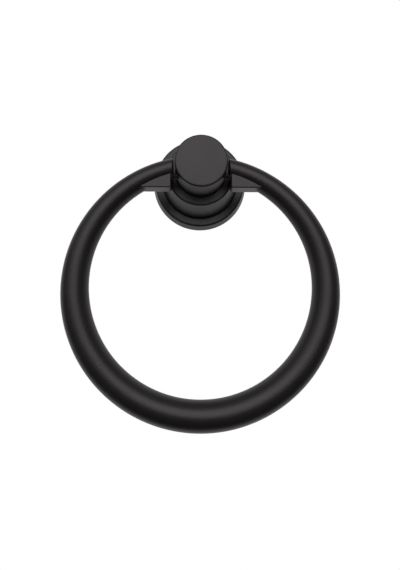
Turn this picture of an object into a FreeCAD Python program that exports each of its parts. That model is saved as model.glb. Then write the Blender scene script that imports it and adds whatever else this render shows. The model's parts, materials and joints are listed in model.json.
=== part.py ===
import FreeCAD, Part
import math
import os

# Ring pull handle for a drawer or cabinet door, in millimetres.
# A round stepped post screws to the face, and a tapered ring hangs from a steel pin through the post.
# The origin is the centre of the post's back face. +Y goes into the face, -Y comes out of it, +Z is up.

# Post, a single turned piece. Lengths run out of the face, and each tier tapers a little.
FLANGE_BACK_DIAMETER = 29.2
FLANGE_FRONT_DIAMETER = 27.6
FLANGE_THICKNESS = 3.2
COLLAR_BACK_DIAMETER = 22.9
COLLAR_FRONT_DIAMETER = 19.5
COLLAR_LENGTH = 9.45
HEAD_DIAMETER = 14.55
HEAD_LENGTH = 9.85
HEAD_CROWN = 0.1
EDGE_ROUNDING = 0.5
BACK_EDGE_ROUNDING = 0.2
ROOT_FILLET = 0.3

# Tapped hole for an M4 screw, at its tapping diameter, with the drill's point at its end.
SCREW_HOLE_DIAMETER = 3.3
SCREW_HOLE_DEPTH = 9.5
DRILL_POINT_ANGLE = 118.0

# Ring, a single forged piece. The tube is thickest at the bottom, where the fingers pull.
# The outside is measured from side to side, and the top is where the ring would close.
RING_OUTER_DIAMETER = 76.0
TUBE_BOTTOM_DIAMETER = 8.75
TUBE_SIDE_DIAMETER = 7.45
TUBE_TOP_DIAMETER = 5.55
TUBE_END_CLEARANCE = 0.45
TUBE_END_ROUNDING = 0.4
TUBE_STATIONS = 37

# Lugs, the flat plates that the pin runs in. The tube's ends overhang them, cut back round the pin.
LUG_THICKNESS = 4.3
LUG_BELOW_PIVOT = 3.75
LUG_END_CLEARANCE = 1.0
LUG_CORNER_RADIUS = 0.5
LUG_EDGE_ROUNDING = 0.3
PIN_RELIEF_DIAMETER = 2.6

# Pivot pin, tight in the post and free in the lugs.
PIN_DIAMETER = 1.6
PIN_ENGAGEMENT = 4.0
PIN_END_CHAMFER = 0.2
PIN_SEAT_CLEARANCE = 0.01
PIN_RUNNING_CLEARANCE = 0.05
PIN_END_CLEARANCE = 0.3
PIVOT_BELOW_POST_AXIS = 3.0
PIVOT_INSIDE_CENTRELINE = 3.0
SWING_CLEARANCE = 0.5

# How near an edge has to lie to a place to be found there.
PICK_TOLERANCE = 0.01

# Places that follow from the sizes above.
FLANGE_FRONT = FLANGE_THICKNESS
COLLAR_FRONT = FLANGE_FRONT + COLLAR_LENGTH
HEAD_FRONT = COLLAR_FRONT + HEAD_LENGTH
HEAD_RADIUS = HEAD_DIAMETER / 2
TUBE_MEAN_DIAMETER = (TUBE_BOTTOM_DIAMETER + TUBE_TOP_DIAMETER) / 2
TUBE_TAPER = (TUBE_BOTTOM_DIAMETER - TUBE_TOP_DIAMETER) / 2
TUBE_SIDE_SWELL = TUBE_SIDE_DIAMETER - TUBE_MEAN_DIAMETER
CENTRELINE_RADIUS = (RING_OUTER_DIAMETER - TUBE_SIDE_DIAMETER) / 2
RING_CENTRE_BELOW_PIVOT = CENTRELINE_RADIUS - PIVOT_INSIDE_CENTRELINE
TUBE_END_X = HEAD_RADIUS + TUBE_END_CLEARANCE
LUG_END_X = HEAD_RADIUS + LUG_END_CLEARANCE
END_ANGLE = math.pi - math.asin(TUBE_END_X / CENTRELINE_RADIUS)


def tube_radius(angle):
    """Radius of the ring's tube at an angle from the bottom of the ring."""
    diameter = TUBE_MEAN_DIAMETER + TUBE_TAPER * math.cos(angle) + TUBE_SIDE_SWELL * math.sin(angle) ** 2
    return diameter / 2


# The pin stands off the collar by what the tube's end sweeps as the ring swings round it.
TUBE_END_ABOVE_PIVOT = -CENTRELINE_RADIUS * math.cos(END_ANGLE) - RING_CENTRE_BELOW_PIVOT
PIVOT_OUT = COLLAR_FRONT + TUBE_END_ABOVE_PIVOT + tube_radius(END_ANGLE) + SWING_CLEARANCE
PIVOT_Z = -PIVOT_BELOW_POST_AXIS
RING_CENTRE_Z = PIVOT_Z - RING_CENTRE_BELOW_PIVOT
LUG_BOTTOM_Z = PIVOT_Z - LUG_BELOW_PIVOT

X_AXIS = FreeCAD.Vector(1, 0, 0)
Y_AXIS = FreeCAD.Vector(0, 1, 0)
ORIGIN = FreeCAD.Vector(0, 0, 0)
RING_CENTRE = FreeCAD.Vector(0, -PIVOT_OUT, RING_CENTRE_Z)
PIVOT = FreeCAD.Vector(0, -PIVOT_OUT, PIVOT_Z)


def rounded_edges(corners):
    """Edges along a path of (point, rounding) corners, with a tangent arc at each rounded corner."""
    edges = []
    start = corners[0][0]
    for i in range(1, len(corners) - 1):
        corner, rounding = corners[i]
        to_last = (corners[i - 1][0] - corner).normalize()
        to_next = (corners[i + 1][0] - corner).normalize()
        half_angle = to_last.getAngle(to_next) / 2
        reach = rounding / math.tan(half_angle)
        to_middle = (to_last + to_next).normalize()
        arc_start = corner + to_last * reach
        arc_middle = corner + to_middle * (rounding / math.sin(half_angle) - rounding)
        arc_end = corner + to_next * reach
        edges.append(Part.LineSegment(start, arc_start).toShape())
        edges.append(Part.Arc(arc_start, arc_middle, arc_end).toShape())
        start = arc_end
    edges.append(Part.LineSegment(start, corners[-1][0]).toShape())
    return edges


def profile_point(radius, out):
    """Point of the post's half section, at a radius from its axis and a distance out of the face."""
    return FreeCAD.Vector(radius, -out, 0)


def crowned_face():
    """Where the head's side ends, and the two arcs that close its half section: rounded rim and crown."""
    crown_radius = (HEAD_RADIUS ** 2 + HEAD_CROWN ** 2) / (2 * HEAD_CROWN)
    crown_centre_out = HEAD_FRONT - crown_radius
    rim_reach = HEAD_RADIUS - EDGE_ROUNDING
    rim_rise = math.sqrt((crown_radius - EDGE_ROUNDING) ** 2 - rim_reach ** 2)
    rim_centre_out = crown_centre_out + rim_rise
    lean = math.atan2(rim_reach, rim_rise)

    def on_rim(angle):
        """Point of the rim's arc, at an angle from the post's axis."""
        radius = rim_reach + EDGE_ROUNDING * math.sin(angle)
        return profile_point(radius, rim_centre_out + EDGE_ROUNDING * math.cos(angle))

    def on_crown(angle):
        """Point of the crown's arc, at an angle from the post's axis."""
        return profile_point(crown_radius * math.sin(angle), crown_centre_out + crown_radius * math.cos(angle))

    side_end = on_rim(math.pi / 2)
    rim = Part.Arc(side_end, on_rim((math.pi / 2 + lean) / 2), on_rim(lean)).toShape()
    crown = Part.Arc(on_crown(lean), on_crown(lean / 2), on_crown(0)).toShape()
    return side_end, [rim, crown]


def screw_hole():
    """Blind tapped hole in the back, with its conical end."""
    radius = SCREW_HOLE_DIAMETER / 2
    point_depth = radius / math.tan(math.radians(DRILL_POINT_ANGLE / 2))
    bore = Part.makeCylinder(radius, SCREW_HOLE_DEPTH, ORIGIN, -Y_AXIS)
    point = Part.makeCone(radius, 0, point_depth, -Y_AXIS * SCREW_HOLE_DEPTH, -Y_AXIS)
    return bore.fuse(point)


def rod_along_x(radius, start, end):
    """Round rod on the pivot's axis, from one X to another."""
    return Part.makeCylinder(radius, end - start, PIVOT + X_AXIS * start, X_AXIS)


def make_post():
    """Flange, collar and crowned head turned in one, with the screw hole and the pin's cross hole."""
    side_end, face = crowned_face()
    corners = [
        (profile_point(0, 0), 0),
        (profile_point(FLANGE_BACK_DIAMETER / 2, 0), BACK_EDGE_ROUNDING),
        (profile_point(FLANGE_FRONT_DIAMETER / 2, FLANGE_FRONT), EDGE_ROUNDING),
        (profile_point(COLLAR_BACK_DIAMETER / 2, FLANGE_FRONT), ROOT_FILLET),
        (profile_point(COLLAR_FRONT_DIAMETER / 2, COLLAR_FRONT), EDGE_ROUNDING),
        (profile_point(HEAD_RADIUS, COLLAR_FRONT), ROOT_FILLET),
        (side_end, 0),
    ]
    axis_edge = Part.LineSegment(profile_point(0, HEAD_FRONT), profile_point(0, 0)).toShape()
    section = Part.Face(Part.Wire(rounded_edges(corners) + face + [axis_edge]))
    turned = section.revolve(ORIGIN, Y_AXIS, 360)
    cross_hole = rod_along_x(PIN_DIAMETER / 2 + PIN_SEAT_CLEARANCE, -HEAD_DIAMETER, HEAD_DIAMETER)
    return turned.cut(screw_hole()).cut(cross_hole)


def make_tube():
    """Tapered tube of the ring, lofted through round sections and squared off at both ends."""
    bottom = RING_CENTRE - FreeCAD.Vector(0, 0, CENTRELINE_RADIUS)
    past_the_end = math.asin(tube_radius(END_ANGLE) / CENTRELINE_RADIUS) / 2
    last_angle = END_ANGLE + past_the_end
    sections = []
    for i in range(TUBE_STATIONS):
        angle = last_angle * (2 * i / (TUBE_STATIONS - 1) - 1)
        section = Part.Wire(Part.makeCircle(tube_radius(angle), bottom, X_AXIS))
        section.rotate(RING_CENTRE, Y_AXIS, math.degrees(angle))
        sections.append(section)
    tube = Part.makeLoft(sections, True, False)
    gap_corner = FreeCAD.Vector(-TUBE_END_X, -PIVOT_OUT - TUBE_TOP_DIAMETER, RING_CENTRE_Z)
    gap = Part.makeBox(2 * TUBE_END_X, 2 * TUBE_TOP_DIAMETER, RING_OUTER_DIAMETER, gap_corner)
    tube = tube.cut(gap)
    ends = [edge for edge in tube.Edges if abs(edge.CenterOfMass.x) < TUBE_END_X + PICK_TOLERANCE]
    return tube.makeFillet(TUBE_END_ROUNDING, ends)


def make_lug():
    """Right lug: a flat plate between the tube's end and the ring's inside, with rounded edges."""
    front_y = -PIVOT_OUT - LUG_THICKNESS / 2

    def on_centreline(angle):
        """Point of the tube's centreline, on the lug's front face."""
        x = CENTRELINE_RADIUS * math.sin(angle)
        return FreeCAD.Vector(x, front_y, RING_CENTRE_Z - CENTRELINE_RADIUS * math.cos(angle))

    inner_angle = math.pi - math.asin(LUG_END_X / CENTRELINE_RADIUS)
    outer_angle = math.acos((RING_CENTRE_Z - LUG_BOTTOM_Z) / CENTRELINE_RADIUS)
    inner = on_centreline(inner_angle)
    outer = on_centreline(outer_angle)
    corner = FreeCAD.Vector(LUG_END_X, front_y, LUG_BOTTOM_Z)
    top = Part.Arc(outer, on_centreline((inner_angle + outer_angle) / 2), inner).toShape()
    outline = Part.Wire(rounded_edges([(inner, 0), (corner, LUG_CORNER_RADIUS), (outer, 0)]) + [top])
    plate = Part.Face(outline).extrude(Y_AXIS * LUG_THICKNESS)
    flat_edges = [edge for edge in plate.Edges if edge.BoundBox.YLength < PICK_TOLERANCE]
    shown = [edge for edge in flat_edges if edge.Length < top.Length - PICK_TOLERANCE]
    return plate.makeFillet(LUG_EDGE_ROUNDING, shown)


def make_ring():
    """Tube and both lugs as one forging, with a blind hole for the pin in each lug."""
    lug = make_lug()
    ring = make_tube().fuse([lug, lug.mirror(ORIGIN, X_AXIS)])
    hole_end = LUG_END_X + PIN_ENGAGEMENT + PIN_END_CLEARANCE
    pin_space = rod_along_x(PIN_DIAMETER / 2 + PIN_RUNNING_CLEARANCE, -hole_end, hole_end)
    relief = rod_along_x(PIN_RELIEF_DIAMETER / 2, -LUG_END_X, LUG_END_X)
    return ring.cut(pin_space.fuse(relief))


def make_pivot_pin():
    """Straight steel pin through the post, into both lugs, with chamfered ends."""
    end = LUG_END_X + PIN_ENGAGEMENT
    pin = rod_along_x(PIN_DIAMETER / 2, -end, end)
    rims = [edge for edge in pin.Edges if edge.BoundBox.XLength < PICK_TOLERANCE]
    return pin.makeChamfer(PIN_END_CHAMFER, rims)


def main():
    """Builds every piece and writes one file for each."""
    os.makedirs("parts", exist_ok=True)
    pieces = {"post": make_post(), "ring": make_ring(), "pivot_pin": make_pivot_pin()}
    for name, shape in pieces.items():
        shape.exportStep(f"parts/{name}.step")
        print(name, "valid", shape.isValid(), "solids", len(shape.Solids), "volume", round(shape.Volume, 2))


if __name__ == "__main__":
    main()
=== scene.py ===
"""Dresses a black ring pull handle and sets it in a white studio.

The post and the ring are modelled afresh over their solids, with clean rounded edges, the tapped hole in
the post's back gets its thread, and the steel pin keeps its solid. Lengths are in metres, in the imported
part's frame: the origin is the centre of the post's back face, -Y comes out towards the hand and +Z is up.
"""

import json
import logging
import math
from collections.abc import Callable
from dataclasses import dataclass
from enum import Enum

import bmesh
import bpy
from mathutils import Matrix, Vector


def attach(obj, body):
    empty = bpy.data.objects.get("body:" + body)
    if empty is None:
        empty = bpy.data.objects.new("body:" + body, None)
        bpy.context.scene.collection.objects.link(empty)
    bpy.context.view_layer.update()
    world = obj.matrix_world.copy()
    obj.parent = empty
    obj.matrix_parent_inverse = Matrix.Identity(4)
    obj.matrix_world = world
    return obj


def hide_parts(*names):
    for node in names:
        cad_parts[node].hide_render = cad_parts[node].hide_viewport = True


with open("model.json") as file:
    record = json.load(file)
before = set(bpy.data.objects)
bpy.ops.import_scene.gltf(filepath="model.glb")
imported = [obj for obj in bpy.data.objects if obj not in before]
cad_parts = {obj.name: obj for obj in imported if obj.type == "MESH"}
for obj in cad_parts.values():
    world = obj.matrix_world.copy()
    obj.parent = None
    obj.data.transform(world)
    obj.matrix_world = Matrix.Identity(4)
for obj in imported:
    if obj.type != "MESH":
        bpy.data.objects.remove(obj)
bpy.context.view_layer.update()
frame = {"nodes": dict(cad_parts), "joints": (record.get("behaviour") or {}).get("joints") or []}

MM = 0.001
# Places nearer to each other than this count as one place when edges are picked.
NEAR = 0.02 * MM
# Vertices nearer to each other than this are one vertex.
SEAM = 0.002 * MM
# Vertices nearer to a saw's plane than this lie on it.
SAW_SLACK = 0.0002 * MM
# Edges between faces at less than this angle are shaded as smooth.
SMOOTH_ANGLE = math.radians(35)
# The bevel profile that makes a round.
ROUND_PROFILE = 0.5
PHOTO_WIDTH = 400
PHOTO_HEIGHT = 570

log = logging.getLogger("ring_pull")


class Side(Enum):
    """The two sides of the handle, as the sign of X."""

    LEFT = -1
    RIGHT = 1


class Body(Enum):
    """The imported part's moving bodies."""

    POST = "post"
    RING = "ring"


class Slot(Enum):
    """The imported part's material slots."""

    BLACK_COAT = "black_coat"
    PIN_STEEL = "pin_steel"


def activate(piece: bpy.types.Object) -> None:
    """Makes one object the only selected and the active one.

    Args:
        piece: the object that the next operators work on.
    """
    bpy.ops.object.select_all(action="DESELECT")
    piece.select_set(True)
    bpy.context.view_layer.objects.active = piece


def open_edit() -> bpy.types.Object:
    """Goes into edit mode on the active object.

    Returns:
        The object being edited.
    """
    bpy.ops.object.mode_set(mode="EDIT")
    return bpy.context.active_object


def close_edit() -> None:
    """Goes back to object mode."""
    bpy.ops.object.mode_set(mode="OBJECT")


def pick(piece: bpy.types.Object, test: Callable[[Vector], bool]) -> None:
    """Selects what lies wholly on the vertices that pass a test, in edit mode, and nothing else.

    Args:
        piece: the object being edited.
        test: takes a vertex's place in the frame.
    """
    mesh = bmesh.from_edit_mesh(piece.data)
    place = piece.matrix_world
    mesh.select_mode = {"VERT"}
    for face in mesh.faces:
        face.select = False
    for edge in mesh.edges:
        edge.select = False
    for vertex in mesh.verts:
        vertex.select = test(place @ vertex.co)
    mesh.select_flush_mode()
    bmesh.update_edit_mesh(piece.data)


def saw_off(place: tuple[float, float, float], waste: tuple[float, float, float]) -> None:
    """Saws the selected faces through on a plane, drops one side and closes the cut, in edit mode.

    Args:
        place: a point of the plane.
        waste: the direction of the side that is dropped.
    """
    bpy.ops.mesh.bisect(
        plane_co=place,
        plane_no=Vector(waste).normalized(),
        threshold=SAW_SLACK,
        clear_outer=True,
        use_fill=True,
    )


def round_edges(width: float, steps: int) -> None:
    """Rounds the selected edges, in edit mode.

    Args:
        width: how far the rounding reaches from each edge.
        steps: how many faces it has from side to side.
    """
    bpy.ops.mesh.bevel(offset=width, segments=steps, profile=ROUND_PROFILE, affect="EDGES")


def apply_modifier(piece: bpy.types.Object, kind: str, **settings: object) -> None:
    """Adds one modifier to an object and applies it.

    Args:
        piece: the object to change.
        kind: the modifier's type.
        settings: the modifier's own settings.
    """
    activate(piece)
    modifier = piece.modifiers.new(kind.lower(), kind)
    for name, value in settings.items():
        setattr(modifier, name, value)
    bpy.ops.object.modifier_apply(modifier=modifier.name)


def settle(piece: bpy.types.Object) -> None:
    """Moves an object's place into its mesh, closes its seams, turns its faces outwards and shades it.

    Args:
        piece: the modelled object.
    """
    activate(piece)
    bpy.ops.object.transform_apply(location=True, rotation=True, scale=True)
    open_edit()
    bpy.ops.mesh.select_all(action="SELECT")
    bpy.ops.mesh.remove_doubles(threshold=SEAM)
    bpy.ops.mesh.normals_make_consistent(inside=False)
    close_edit()
    bpy.ops.object.shade_smooth_by_angle(angle=SMOOTH_ANGLE)
    apply_modifier(piece, "WEIGHTED_NORMAL", keep_sharp=True)


@dataclass(frozen=True)
class PowderCoat:
    """Satin black powder coat: nearly black, with a fine sprayed grain and a slightly uneven sheen.

    Attributes:
        colour: the coat's own colour.
        cloud: the colour of the slightly paler patches.
        roughness: the lowest and highest roughness.
        specular: the strength of its reflections, where 0.5 is plain lacquer.
        specular_tint: the slight warmth of its reflections.
        grain_size: width of one grain of the sprayed surface.
        grain_height: height of the grain.
        grain_detail: how many finer layers the grain has.
        patch_size: width of the patches in which the sheen varies.
        patch_detail: how many finer layers the patches have.
    """

    colour: tuple[float, float, float] = (0.0070, 0.0060, 0.0062)
    cloud: tuple[float, float, float] = (0.0100, 0.0087, 0.0090)
    roughness: tuple[float, float] = (0.35, 0.45)
    specular: float = 0.3
    specular_tint: tuple[float, float, float] = (1.0, 0.93, 0.945)
    grain_size: float = 0.55 * MM
    grain_height: float = 0.028 * MM
    grain_detail: float = 2.0
    patch_size: float = 6.0 * MM
    patch_detail: float = 3.0

    def build(self) -> bpy.types.Material:
        """Makes the coat's material.

        Returns:
            The material, on object coordinates.
        """
        material = bpy.data.materials.new("satin_black_coat")
        material.use_nodes = True
        nodes, links = material.node_tree.nodes, material.node_tree.links
        shader = nodes["Principled BSDF"]
        shader.inputs["Specular IOR Level"].default_value = self.specular
        shader.inputs["Specular Tint"].default_value = (*self.specular_tint, 1.0)
        place = nodes.new("ShaderNodeTexCoord")

        patches = nodes.new("ShaderNodeTexNoise")
        patches.inputs["Scale"].default_value = 1 / self.patch_size
        patches.inputs["Detail"].default_value = self.patch_detail
        links.new(place.outputs["Object"], patches.inputs["Vector"])

        colours = nodes.new("ShaderNodeMix")
        colours.data_type = "RGBA"
        colours.inputs["A"].default_value = (*self.colour, 1.0)
        colours.inputs["B"].default_value = (*self.cloud, 1.0)
        links.new(patches.outputs["Fac"], colours.inputs["Factor"])
        links.new(colours.outputs["Result"], shader.inputs["Base Color"])

        sheen = nodes.new("ShaderNodeMapRange")
        sheen.inputs["To Min"].default_value = self.roughness[0]
        sheen.inputs["To Max"].default_value = self.roughness[1]
        links.new(patches.outputs["Fac"], sheen.inputs["Value"])
        links.new(sheen.outputs["Result"], shader.inputs["Roughness"])

        grain = nodes.new("ShaderNodeTexNoise")
        grain.inputs["Scale"].default_value = 1 / self.grain_size
        grain.inputs["Detail"].default_value = self.grain_detail
        links.new(place.outputs["Object"], grain.inputs["Vector"])
        bump = nodes.new("ShaderNodeBump")
        bump.inputs["Distance"].default_value = self.grain_height
        links.new(grain.outputs["Fac"], bump.inputs["Height"])
        links.new(bump.outputs["Normal"], shader.inputs["Normal"])
        return material


@dataclass(frozen=True)
class DrawnSteel:
    """Darkened drawn steel, with fine marks along the pin.

    Attributes:
        colour: the steel's colour.
        roughness: the lowest and highest roughness.
        mark_size: width of one drawing mark.
        mark_length: length of one drawing mark.
    """

    colour: tuple[float, float, float] = (0.035, 0.034, 0.033)
    roughness: tuple[float, float] = (0.6, 0.75)
    mark_size: float = 0.08 * MM
    mark_length: float = 4.0 * MM

    def build(self) -> bpy.types.Material:
        """Makes the steel's material.

        Returns:
            The material, on object coordinates.
        """
        material = bpy.data.materials.new("drawn_steel")
        material.use_nodes = True
        nodes, links = material.node_tree.nodes, material.node_tree.links
        shader = nodes["Principled BSDF"]
        shader.inputs["Base Color"].default_value = (*self.colour, 1.0)
        shader.inputs["Metallic"].default_value = 1.0
        place = nodes.new("ShaderNodeTexCoord")
        stretch = nodes.new("ShaderNodeMapping")
        along, across = 1 / self.mark_length, 1 / self.mark_size
        stretch.inputs["Scale"].default_value = (along, across, across)
        links.new(place.outputs["Object"], stretch.inputs["Vector"])
        marks = nodes.new("ShaderNodeTexNoise")
        marks.inputs["Scale"].default_value = 1.0
        links.new(stretch.outputs["Vector"], marks.inputs["Vector"])
        sheen = nodes.new("ShaderNodeMapRange")
        sheen.inputs["To Min"].default_value = self.roughness[0]
        sheen.inputs["To Max"].default_value = self.roughness[1]
        links.new(marks.outputs["Fac"], sheen.inputs["Value"])
        links.new(sheen.outputs["Result"], shader.inputs["Roughness"])
        return material


@dataclass
class SteppedPost:
    """The post: flange, tapered collar and crowned head, turned in one, with a tapped hole in the back.

    Attributes:
        flange_back_radius: radius of the flange at the drawer front.
        flange_front_radius: radius of the flange's front rim.
        flange_front: distance of the flange's front from the drawer front.
        collar_back_radius: radius of the collar where it leaves the flange.
        collar_front_radius: radius of the collar's front rim.
        collar_front: distance of the collar's front from the drawer front.
        head_radius: radius of the head.
        head_front: distance of the head's highest point from the drawer front.
        head_crown: rise of the head's face from rim to middle.
        rim_rounding: rounding of the three front rims.
        back_rounding: rounding of the flange's back edge.
        root_fillet: fillet where one tier leaves the next.
        thread_radius: radius of the tapped hole at the thread's roots.
        crest_radius: radius of the tapped hole at the thread's crests.
        thread_pitch: advance of one turn of the thread.
        hole_depth: depth of the tapped hole, without the drill's point.
        mouth_chamfer: countersink at the hole's mouth.
        drill_point: depth of the drill's point at the hole's end.
        ridge_share: width of the thread's ridge at its foot, as a share of the pitch.
        crest_share: width of the ridge's crest, as a share of its foot.
        ridge_sunk: how deep the ridge's foot is sunk in the hole's wall.
        blank_turns: how many turns of the hole's length have no thread.
        segments: how many sides a round has.
        rounding_steps: how many faces a rounded rim or root has from side to side.
    """

    flange_back_radius: float = 14.6 * MM
    flange_front_radius: float = 13.8 * MM
    flange_front: float = 3.2 * MM
    collar_back_radius: float = 11.45 * MM
    collar_front_radius: float = 9.75 * MM
    collar_front: float = 12.65 * MM
    head_radius: float = 7.275 * MM
    head_front: float = 22.5 * MM
    head_crown: float = 0.1 * MM
    rim_rounding: float = 0.5 * MM
    back_rounding: float = 0.2 * MM
    root_fillet: float = 0.3 * MM
    thread_radius: float = 2.0 * MM
    crest_radius: float = 1.65 * MM
    thread_pitch: float = 0.7 * MM
    hole_depth: float = 9.5 * MM
    mouth_chamfer: float = 0.25 * MM
    drill_point: float = 1.0 * MM
    ridge_share: float = 0.84
    crest_share: float = 0.2
    ridge_sunk: float = 0.05 * MM
    blank_turns: int = 2
    segments: int = 160
    rounding_steps: int = 6

    def build(self, coat: bpy.types.Material, steel: bpy.types.Material) -> list[bpy.types.Object]:
        """Models the post and its thread, and dresses them.

        Args:
            coat: the black coat.
            steel: the bare metal of the thread.

        Returns:
            The finished pieces.
        """
        post = self._turn_tiers()
        self._crown_head()
        self._round_rims(post)
        self._sink_hole(post)
        settle(post)
        post.data.materials.append(coat)
        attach(post, Body.POST.value)
        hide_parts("post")
        thread = self._cut_thread()
        thread.data.materials.append(steel)
        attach(thread, Body.POST.value)
        return [post, thread]

    def _turn_tiers(self) -> bpy.types.Object:
        """Draws the three tiers out of a disc on the drawer front.

        Returns:
            The post, in edit mode, with its head's flat face selected.
        """
        bpy.ops.object.select_all(action="DESELECT")
        bpy.ops.mesh.primitive_circle_add(
            vertices=self.segments,
            radius=self.flange_back_radius,
            fill_type="NGON",
            rotation=(math.pi / 2, 0, 0),
        )
        post = open_edit()
        post.name = "post_turned"
        bpy.ops.mesh.select_all(action="SELECT")
        self._draw_out(0, self.flange_front, self.flange_back_radius, self.flange_front_radius)
        bpy.ops.mesh.inset(thickness=self.flange_front_radius - self.collar_back_radius)
        self._draw_out(
            self.flange_front, self.collar_front, self.collar_back_radius, self.collar_front_radius
        )
        bpy.ops.mesh.inset(thickness=self.collar_front_radius - self.head_radius)
        rim_front = self.head_front - self.head_crown
        self._draw_out(self.collar_front, rim_front, self.head_radius, self.head_radius)
        return post

    def _draw_out(self, start: float, end: float, start_radius: float, end_radius: float) -> None:
        """Extrudes the selected face out of the drawer front and scales it.

        Args:
            start: the face's distance from the drawer front.
            end: its distance afterwards.
            start_radius: the face's radius.
            end_radius: its radius afterwards.
        """
        bpy.ops.mesh.extrude_region_move(TRANSFORM_OT_translate={"value": (0, start - end, 0)})
        share = end_radius / start_radius
        bpy.ops.transform.resize(value=(share, 1, share), center_override=(0, -end, 0))

    def _crown_head(self, steps: int = 6) -> None:
        """Raises the head's face, which is selected, into a shallow crown.

        Args:
            steps: how many rings the crown has.
        """
        radius, rise = self.head_radius, 0.0
        for step in range(1, steps + 1):
            next_radius = self.head_radius * (1 - step / (steps + 1))
            next_rise = self.head_crown * (1 - (next_radius / self.head_radius) ** 2)
            bpy.ops.mesh.inset(thickness=radius - next_radius, depth=next_rise - rise)
            radius, rise = next_radius, next_rise

    def _round_rims(self, post: bpy.types.Object) -> None:
        """Rounds the rims and fillets the roots of the tiers.

        Args:
            post: the post, in edit mode.
        """
        rim_front = self.head_front - self.head_crown
        rounds = [
            (self.flange_back_radius, 0.0, self.back_rounding),
            (self.flange_front_radius, self.flange_front, self.rim_rounding),
            (self.collar_back_radius, self.flange_front, self.root_fillet),
            (self.collar_front_radius, self.collar_front, self.rim_rounding),
            (self.head_radius, self.collar_front, self.root_fillet),
            (self.head_radius, rim_front, self.rim_rounding),
        ]
        for radius, out, rounding in rounds:
            self._pick_circle(post, radius, out)
            round_edges(rounding, self.rounding_steps)

    @staticmethod
    def _pick_circle(post: bpy.types.Object, radius: float, out: float) -> None:
        """Selects the circle of one rim or root.

        Args:
            post: the post, in edit mode.
            radius: the circle's radius.
            out: the circle's distance from the drawer front.
        """

        def on_circle(place: Vector) -> bool:
            """Tells whether a place lies on the circle."""
            return abs(math.hypot(place.x, place.z) - radius) < NEAR and abs(place.y + out) < NEAR

        pick(post, on_circle)

    def _sink_hole(self, post: bpy.types.Object) -> None:
        """Sinks the tapped hole in the post's back, with a countersunk mouth and the drill's point.

        Args:
            post: the post, in edit mode. It is left in object mode.
        """
        flat_radius = self.flange_back_radius - self.back_rounding
        mouth_radius = self.thread_radius + self.mouth_chamfer
        pick(post, lambda v: abs(v.y) < SEAM)
        bpy.ops.mesh.inset(thickness=flat_radius - mouth_radius)
        self._draw_out(0, self.mouth_chamfer, mouth_radius, self.thread_radius)
        self._draw_out(self.mouth_chamfer, self.hole_depth, self.thread_radius, self.thread_radius)
        self._draw_out(self.hole_depth, self.hole_depth + self.drill_point, self.thread_radius, NEAR)
        bpy.ops.mesh.merge(type="CENTER")
        close_edit()

    def _cut_thread(self, sides: int = 48) -> bpy.types.Object:
        """Winds the thread's ridge inside the hole.

        Args:
            sides: how many steps one turn has.

        Returns:
            The thread, as a closed ridge that stands on the hole's wall.
        """
        foot_radius = self.thread_radius + self.ridge_sunk
        middle_radius = (foot_radius + self.crest_radius) / 2
        foot = self.thread_pitch * self.ridge_share
        start = -self.mouth_chamfer - foot / 2
        bpy.ops.object.select_all(action="DESELECT")
        bpy.ops.mesh.primitive_plane_add(size=1)
        thread = open_edit()
        thread.name = "screw_thread"
        bpy.ops.mesh.select_all(action="SELECT")
        bpy.ops.transform.resize(value=(foot_radius - self.crest_radius, foot, 1))
        bpy.ops.transform.translate(value=(middle_radius, start, 0))
        pick(thread, lambda v: v.x < middle_radius)
        bpy.ops.transform.resize(value=(1, self.crest_share, 1), center_override=(0, start, 0))
        close_edit()
        turns = int(self.hole_depth / self.thread_pitch - self.blank_turns)
        apply_modifier(
            thread,
            "SCREW",
            axis="Y",
            screw_offset=-self.thread_pitch,
            iterations=turns,
            steps=sides,
            render_steps=sides,
            use_merge_vertices=False,
        )
        settle(thread)
        return thread


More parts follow.
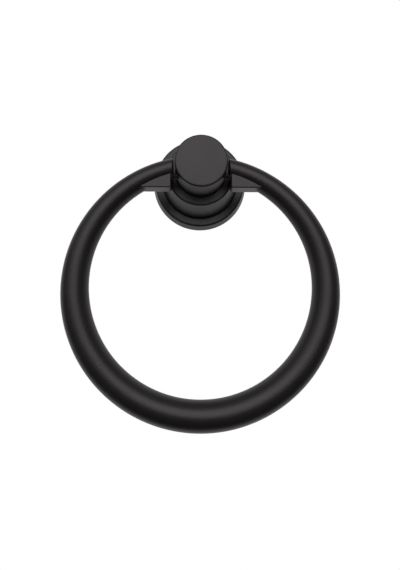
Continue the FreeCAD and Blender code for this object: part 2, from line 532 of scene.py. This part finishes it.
@dataclass
class TaperedRing:
    """The ring: a round tube, thickest at the bottom, with a flat lug inside each end.

    Attributes:
        pivot: where the pin's axis crosses the ring's middle.
        outer_diameter: the ring's outside, side to side.
        bottom_diameter: the tube's thickness at the bottom.
        side_diameter: the tube's thickness at the ring's sides.
        top_diameter: the tube's thickness where the ring would close.
        pivot_inside: distance of the pin's axis inside the tube's centreline.
        end_x: distance of the tube's ends from the middle.
        end_rounding: rounding of the tube's ends.
        lug_thickness: thickness of the lugs, front to back.
        lug_drop: distance of the lugs' undersides below the pin's axis.
        lug_end_x: distance of the lugs' ends from the middle.
        lug_corner: radius of the lugs' lower inner corners.
        lug_rounding: rounding of the lugs' edges.
        relief_diameter: how wide the tube's ends are cut back round the pin.
        end_steps: how many faces the rounding of a tube's end has from side to side.
        corner_steps: how many faces a lug's lower inner corner has.
        edge_steps: how many faces the rounding of a lug's edge has from side to side.
    """

    pivot: Vector
    outer_diameter: float = 76.0 * MM
    bottom_diameter: float = 8.75 * MM
    side_diameter: float = 7.45 * MM
    top_diameter: float = 5.55 * MM
    pivot_inside: float = 3.0 * MM
    end_x: float = 7.725 * MM
    end_rounding: float = 0.4 * MM
    lug_thickness: float = 4.3 * MM
    lug_drop: float = 3.75 * MM
    lug_end_x: float = 8.275 * MM
    lug_corner: float = 0.5 * MM
    lug_rounding: float = 0.3 * MM
    relief_diameter: float = 2.6 * MM
    end_steps: int = 5
    corner_steps: int = 8
    edge_steps: int = 4

    @property
    def centreline_radius(self) -> float:
        """Radius of the circle that the tube follows."""
        return (self.outer_diameter - self.side_diameter) / 2

    @property
    def centre(self) -> Vector:
        """The middle of the circle that the tube follows."""
        return self.pivot - Vector((0, 0, self.centreline_radius - self.pivot_inside))

    @property
    def gap_angle(self) -> float:
        """How far the tube stops short of closing at the top, to one side, in radians."""
        return math.asin(self.end_x / self.centreline_radius)

    def tube_radius(self, angle: float) -> float:
        """Gives the tube's radius at a place round the ring.

        Args:
            angle: how far round from the bottom, in radians.

        Returns:
            The tube's radius there.
        """
        mean = (self.bottom_diameter + self.top_diameter) / 2
        taper = (self.bottom_diameter - self.top_diameter) / 2
        swell = self.side_diameter - mean
        return (mean + taper * math.cos(angle) + swell * math.sin(angle) ** 2) / 2

    def on_centreline(self, angle: float) -> Vector:
        """Gives a point of the tube's centreline.

        Args:
            angle: how far round from the bottom towards +X, in radians.

        Returns:
            The point.
        """
        return self.centre + self.centreline_radius * Vector((math.sin(angle), 0, -math.cos(angle)))

    def build(self, coat: bpy.types.Material) -> bpy.types.Object:
        """Models the ring with its lugs and dresses it.

        Args:
            coat: the black coat.

        Returns:
            The finished ring.
        """
        ring = self._draw_tube()
        self._square_ends(ring)
        for side in Side:
            lug = self._shape_lug(side)
            apply_modifier(ring, "BOOLEAN", operation="UNION", solver="EXACT", object=lug)
            bpy.data.objects.remove(lug)
        self._clear_pin(ring)
        settle(ring)
        ring.data.materials.append(coat)
        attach(ring, Body.RING.value)
        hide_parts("ring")
        return ring

    def _draw_tube(self, sections: int = 150, sides: int = 48) -> bpy.types.Object:
        """Draws the tube out of a round face, a step at a time from one end of the ring to the other.

        Args:
            sections: how many steps there are.
            sides: how many sides the tube has.

        Returns:
            The tube, in edit mode, with its ends still square to its centreline.
        """
        last = math.pi - self.gap_angle
        step = 2 * last / sections
        bpy.ops.object.select_all(action="DESELECT")
        bpy.ops.mesh.primitive_circle_add(
            vertices=sides,
            radius=self.tube_radius(last),
            fill_type="NGON",
            location=self.on_centreline(-last),
            rotation=(0, math.pi / 2 + last, 0),
        )
        tube = bpy.context.active_object
        tube.name = "ring_forged"
        bpy.ops.object.transform_apply(location=True, rotation=True, scale=True)
        open_edit()
        bpy.ops.mesh.select_all(action="SELECT")
        for i in range(sections):
            angle = i * step - last
            share = self.tube_radius(angle + step) / self.tube_radius(angle)
            middle = self.on_centreline(angle + step)
            bpy.ops.mesh.extrude_region_move()
            bpy.ops.transform.rotate(value=step, orient_axis="Y", center_override=self.centre)
            bpy.ops.transform.resize(value=(share, share, share), center_override=middle)
        return tube

    def _square_ends(self, ring: bpy.types.Object) -> None:
        """Turns the tube's ends to face each other squarely across the gap, and rounds them.

        Args:
            ring: the tube, in edit mode. It is left in object mode.
        """
        bpy.ops.mesh.select_all(action="SELECT")
        bpy.ops.mesh.normals_make_consistent(inside=False)
        stretch = 1 / math.cos(self.gap_angle)
        for side in Side:
            turn = side.value * self.gap_angle
            angle = side.value * (math.pi - self.gap_angle)
            middle = self.on_centreline(angle)
            along = Vector((math.cos(angle), 0, math.sin(angle)))
            pick(ring, lambda v, m=middle, t=along: abs((v - m).dot(t)) < NEAR and v.z > self.centre.z)
            bpy.ops.transform.rotate(value=turn, orient_axis="Y", center_override=middle)
            bpy.ops.transform.resize(value=(1, 1, stretch), center_override=middle)
            round_edges(self.end_rounding, self.end_steps)
        close_edit()

    def _shape_lug(self, side: Side) -> bpy.types.Object:
        """Shapes one lug out of a block: the plate under the tube's end.

        Args:
            side: which end of the tube.

        Returns:
            The lug, reaching up into the tube.
        """
        radius = self.centreline_radius
        bottom = self.pivot.z - self.lug_drop
        inner_z = self.centre.z + math.sqrt(radius**2 - self.lug_end_x**2)
        outer_x = math.sqrt(radius**2 - (bottom - self.centre.z) ** 2)
        width, height = outer_x - self.lug_end_x, inner_z - bottom
        waste = self.lug_thickness
        end_x = side.value * self.lug_end_x
        middle_x = side.value * (self.lug_end_x + (width + waste) / 2)
        middle_z = bottom + (height + waste) / 2
        bpy.ops.object.select_all(action="DESELECT")
        bpy.ops.mesh.primitive_cube_add(size=1, location=(middle_x, self.pivot.y, middle_z))
        lug = bpy.context.active_object
        lug.scale = (width + waste, self.lug_thickness, height + waste)
        bpy.ops.object.transform_apply(location=True, rotation=True, scale=True)
        open_edit()
        bpy.ops.mesh.select_all(action="SELECT")
        saw_off((end_x, self.pivot.y, inner_z), (side.value * height, 0, width))
        pick(lug, lambda v: abs(v.x - end_x) < NEAR and abs(v.z - bottom) < NEAR)
        round_edges(self.lug_corner, self.corner_steps)
        for face in (-1, 1):
            face_y = self.pivot.y + face * self.lug_thickness / 2
            self._round_lug_edge(lug, face_y, end_x, bottom)
        close_edit()
        return lug

    def _round_lug_edge(self, lug: bpy.types.Object, face_y: float, end_x: float, bottom: float) -> None:
        """Rounds a lug's end, corner and underside along one of its flat faces.

        Args:
            lug: the lug, in edit mode.
            face_y: where the flat face is.
            end_x: where the lug's end is.
            bottom: where the lug's underside is.
        """
        reach = self.lug_corner + NEAR
        mesh = bmesh.from_edit_mesh(lug.data)
        for face in mesh.faces:
            face.select = False
        for edge in mesh.edges:
            ends = [vertex.co for vertex in edge.verts]
            on_face = all(abs(v.y - face_y) < NEAR for v in ends)
            on_end = all(abs(v.x - end_x) < NEAR for v in ends)
            on_bottom = all(abs(v.z - bottom) < NEAR for v in ends)
            on_corner = all(abs(v.x - end_x) < reach and abs(v.z - bottom) < reach for v in ends)
            edge.select = on_face and (on_end or on_bottom or on_corner)
        bmesh.update_edit_mesh(lug.data)
        round_edges(self.lug_rounding, self.edge_steps)

    def _clear_pin(self, ring: bpy.types.Object, sides: int = 48) -> None:
        """Cuts the tube's ends back round the pin, as far as the lugs' ends.

        Args:
            ring: the tube with its lugs.
            sides: how many sides the cut has.
        """
        bpy.ops.object.select_all(action="DESELECT")
        bpy.ops.mesh.primitive_cylinder_add(
            vertices=sides,
            radius=self.relief_diameter / 2,
            depth=2 * (self.lug_end_x - NEAR),
            location=self.pivot,
            rotation=(0, math.pi / 2, 0),
        )
        cutter = bpy.context.active_object
        apply_modifier(ring, "BOOLEAN", operation="DIFFERENCE", solver="EXACT", object=cutter)
        bpy.data.objects.remove(cutter)


@dataclass
class PivotPin:
    """The steel pin, which keeps its solid and gets its finish.

    Attributes:
        node: the pin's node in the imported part.
    """

    node: str = "pivot_pin"

    def build(self, steel: bpy.types.Material) -> bpy.types.Object:
        """Dresses the pin's solid.

        Args:
            steel: the pin's finish.

        Returns:
            The pin.
        """
        pin = frame["nodes"][self.node]
        pin.data.materials.clear()
        pin.data.materials.append(steel)
        return pin


@dataclass(frozen=True)
class PhotoCamera:
    """A camera close in front of the handle, as for a small product on a table.

    Attributes:
        place: where the lens is.
        pitch: how far it looks up, in degrees.
        yaw: how far it looks to the right, in degrees.
        focal_pixels: focal length in pixels of the photograph.
        sensor: the sensor's long side, in millimetres.
        nearest: the nearest distance that is drawn.
    """

    place: tuple[float, float, float] = (-2.821 * MM, -133.863 * MM, -42.074 * MM)
    pitch: float = 4.316
    yaw: float = 1.256
    focal_pixels: float = 425.0
    sensor: float = 36.0
    nearest: float = 1.0 * MM

    def build(self) -> None:
        """Sets up the camera and makes it the scene's."""
        data = bpy.data.cameras.new("photo_camera")
        data.sensor_width = self.sensor
        data.lens = self.focal_pixels * self.sensor / max(PHOTO_WIDTH, PHOTO_HEIGHT)
        data.clip_start = self.nearest
        camera = bpy.data.objects.new("photo_camera", data)
        camera.location = self.place
        camera.rotation_euler = (math.radians(90 + self.pitch), 0, math.radians(-self.yaw))
        bpy.context.scene.collection.objects.link(camera)
        bpy.context.scene.camera = camera


@dataclass(frozen=True)
class Softbox:
    """A flat soft lamp that faces the handle.

    Attributes:
        name: the lamp's name.
        place: where its middle is.
        aim: the point that it faces.
        width: its level side.
        height: its other side.
        power: its power in watts.
    """

    name: str
    place: tuple[float, float, float]
    aim: tuple[float, float, float]
    width: float
    height: float
    power: float

    def build(self) -> None:
        """Sets up the lamp."""
        data = bpy.data.lights.new(self.name, "AREA")
        data.shape = "RECTANGLE"
        data.size = self.width
        data.size_y = self.height
        data.energy = self.power
        lamp = bpy.data.objects.new(self.name, data)
        lamp.location = self.place
        facing = Vector(self.aim) - Vector(self.place)
        lamp.rotation_euler = facing.to_track_quat("-Z", "Y").to_euler()
        lamp.visible_camera = False
        bpy.context.scene.collection.objects.link(lamp)


@dataclass
class Studio:
    """A white studio: pale floor and white wall behind the handle, soft lamps and a dim room in front.

    Attributes:
        floor_z: height of the floor.
        floor_width: side of the floor, which starts under the drawer front and reaches back.
        floor_tone: how much of the light the floor gives back.
        wall_light: strength of the white behind the handle.
        wall_edge: how far back a direction points where that white is full, from 0 to 1.
        ceiling_light: strength of the room's light straight above.
        room_light: strength of the room's light at its darkest, in front and below.
        room_edge: how far up a direction points where the room is at its darkest, from -1 to 1.
        lamp_aim: the point that both lamps face.
    """

    floor_z: float = -0.8
    floor_width: float = 1.6
    floor_tone: float = 0.8
    wall_light: float = 0.85
    wall_edge: float = 0.15
    ceiling_light: float = 0.3
    room_light: float = 0.06
    room_edge: float = -0.5
    lamp_aim: tuple[float, float, float] = (0.0, -18 * MM, -30 * MM)

    def build(self) -> None:
        """Sets up the floor, the surroundings and the lamps."""
        bpy.context.scene.view_settings.view_transform = "Standard"
        self._lay_floor()
        self._light_surroundings()
        Softbox(
            name="front_softbox",
            place=(0.0, -557 * MM, 233 * MM),
            aim=self.lamp_aim,
            width=550 * MM,
            height=550 * MM,
            power=2.1,
        ).build()
        Softbox(
            name="wide_softbox",
            place=(-168 * MM, -809 * MM, 364 * MM),
            aim=self.lamp_aim,
            width=1700 * MM,
            height=800 * MM,
            power=4.2,
        ).build()

    def _lay_floor(self) -> None:
        """Lays the pale floor, which is plain white in view and in reflections."""
        middle = (0, self.floor_width / 2, self.floor_z)
        bpy.ops.object.select_all(action="DESELECT")
        bpy.ops.mesh.primitive_plane_add(size=self.floor_width, location=middle)
        floor = bpy.context.active_object
        floor.name = "floor"
        material = bpy.data.materials.new("pale_floor")
        material.use_nodes = True
        nodes, links = material.node_tree.nodes, material.node_tree.links
        nodes.clear()
        output = nodes.new("ShaderNodeOutputMaterial")
        paper = nodes.new("ShaderNodeBsdfDiffuse")
        paper.inputs["Color"].default_value = (self.floor_tone, self.floor_tone, self.floor_tone, 1.0)
        white = nodes.new("ShaderNodeEmission")
        mix = nodes.new("ShaderNodeMixShader")
        links.new(self._seen(nodes, links), mix.inputs["Fac"])
        links.new(paper.outputs["BSDF"], mix.inputs[1])
        links.new(white.outputs["Emission"], mix.inputs[2])
        links.new(mix.outputs["Shader"], output.inputs["Surface"])
        floor.data.materials.append(material)

    @staticmethod
    def _seen(nodes: bpy.types.Nodes, links: bpy.types.NodeLinks) -> bpy.types.NodeSocket:
        """Adds the nodes that tell what is seen, straight, mirrored or through glass.

        Args:
            nodes: the nodes of a material.
            links: the links of the same material.

        Returns:
            A socket that is 1 for what is seen and 0 for what only gives light to the rest.
        """
        path = nodes.new("ShaderNodeLightPath")
        seen = path.outputs["Is Camera Ray"]
        for way in ("Is Glossy Ray", "Is Transmission Ray"):
            either = nodes.new("ShaderNodeMath")
            either.operation = "MAXIMUM"
            links.new(seen, either.inputs[0])
            links.new(path.outputs[way], either.inputs[1])
            seen = either.outputs["Value"]
        return seen

    def _light_surroundings(self) -> None:
        """Makes the surroundings white behind the handle and a room that darkens downwards in front."""
        world = bpy.data.worlds.new("studio")
        bpy.context.scene.world = world
        world.use_nodes = True
        nodes, links = world.node_tree.nodes, world.node_tree.links
        background = nodes["Background"]
        direction = nodes.new("ShaderNodeTexCoord")
        axes = nodes.new("ShaderNodeSeparateXYZ")
        links.new(direction.outputs["Generated"], axes.inputs["Vector"])
        room = nodes.new("ShaderNodeMapRange")
        room.inputs["From Min"].default_value = self.room_edge
        room.inputs["From Max"].default_value = 1.0
        room.inputs["To Min"].default_value = self.room_light
        room.inputs["To Max"].default_value = self.ceiling_light
        links.new(axes.outputs["Z"], room.inputs["Value"])
        wall = nodes.new("ShaderNodeMapRange")
        wall.interpolation_type = "SMOOTHSTEP"
        wall.inputs["From Min"].default_value = 0.0
        wall.inputs["From Max"].default_value = self.wall_edge
        wall.inputs["To Max"].default_value = self.wall_light
        links.new(room.outputs["Result"], wall.inputs["To Min"])
        links.new(axes.outputs["Y"], wall.inputs["Value"])
        view = nodes.new("ShaderNodeLightPath")
        strength = nodes.new("ShaderNodeMix")
        strength.inputs["B"].default_value = 1.0
        links.new(view.outputs["Is Camera Ray"], strength.inputs["Factor"])
        links.new(wall.outputs["Result"], strength.inputs["A"])
        links.new(strength.outputs["Result"], background.inputs["Strength"])
        background.inputs["Color"].default_value = (1.0, 1.0, 1.0, 1.0)


def main() -> None:
    """Builds the handle's pieces in order, then the camera and the studio."""
    logging.basicConfig(level=logging.INFO, format="%(name)s: %(message)s")
    coat = PowderCoat().build()
    steel = DrawnSteel().build()
    pieces = SteppedPost().build(coat, steel)
    pieces.append(TaperedRing(pivot=Vector(frame["joints"][0]["pos_m"])).build(coat))
    pieces.append(PivotPin().build(steel))
    for piece in pieces:
        log.info("%s: %d faces", piece.name, len(piece.data.polygons))
    PhotoCamera().build()
    Studio().build()


if __name__ == "__main__":
    main()
